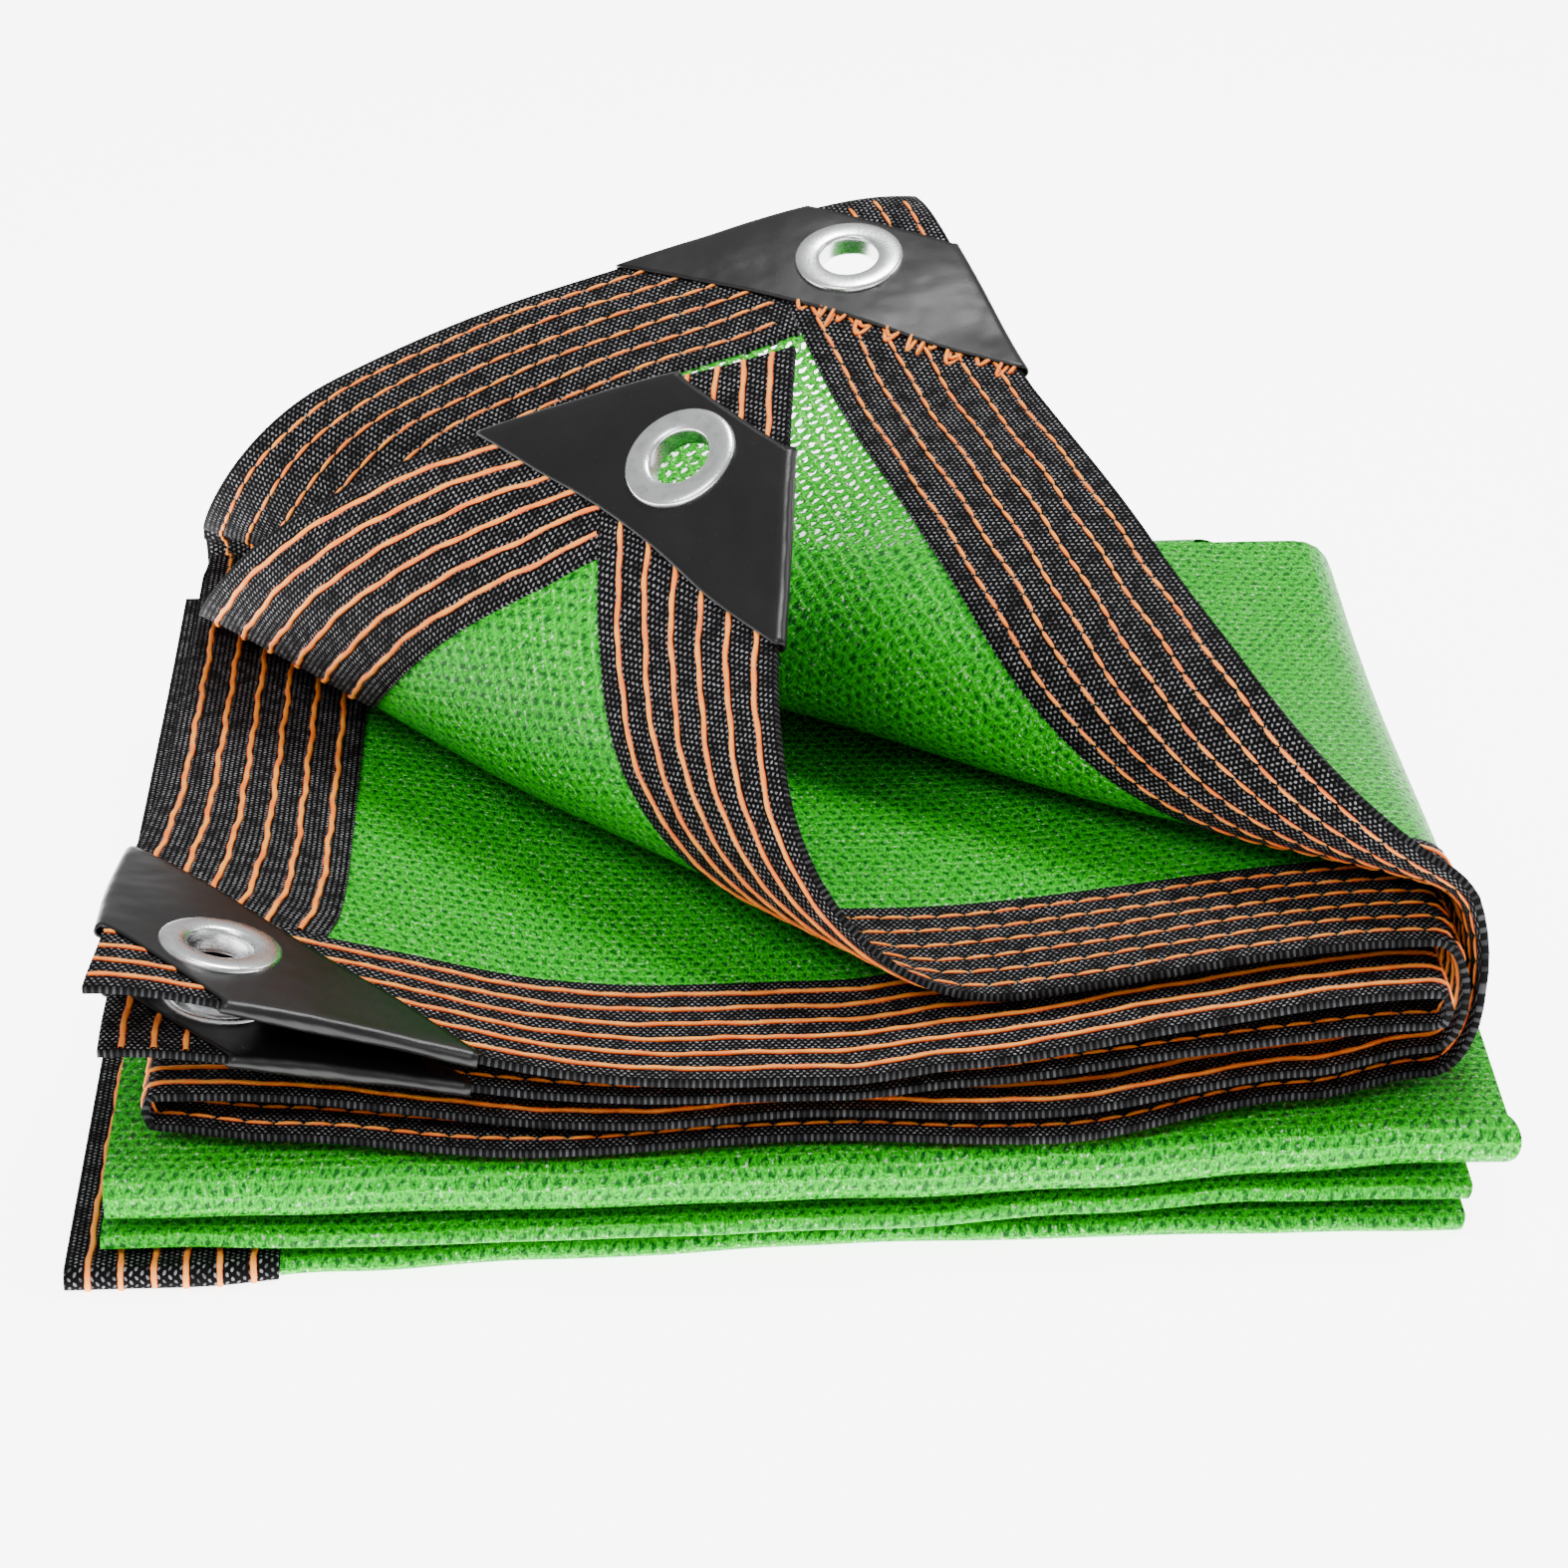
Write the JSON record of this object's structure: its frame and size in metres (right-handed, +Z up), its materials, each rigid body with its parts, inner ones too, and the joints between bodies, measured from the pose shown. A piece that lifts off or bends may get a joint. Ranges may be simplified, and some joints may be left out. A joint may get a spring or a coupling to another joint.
{
  "type": "shade cloth",
  "caption": "Folded green knit shade cloth with black stitched edge tapes, corner patches and metal eyelets, its corners rolled back over the packet",
  "frame": {"origin": "centre of the packet's box, on the floor", "axes": "+X along the front edge to the right, +Y to the back, +Z up"},
  "size_m": [0.2768, 0.2692, 0.1349],
  "materials": {
    "knit": "shiny knitted plastic yarn",
    "tape": "matte woven tape with orange sewing rows",
    "patch": "satin coated sheet",
    "metal": "bright, lightly worn"
  },
  "bodies": {
    "root": {"cloth": "knit", "tape_front_ab": "tape", "tape_front_cd": "tape", "tape_left_a": "tape", "tape_left_bc": "tape", "tape_left_d": "tape", "tape_left_base": "tape", "patch_a": "patch", "patch_b": "patch", "patch_c": "patch", "patch_d": "patch", "eyelet_a": "metal", "eyelet_b": "metal", "eyelet_c": "metal", "eyelet_d": "metal"}
  },
  "joints": []
}
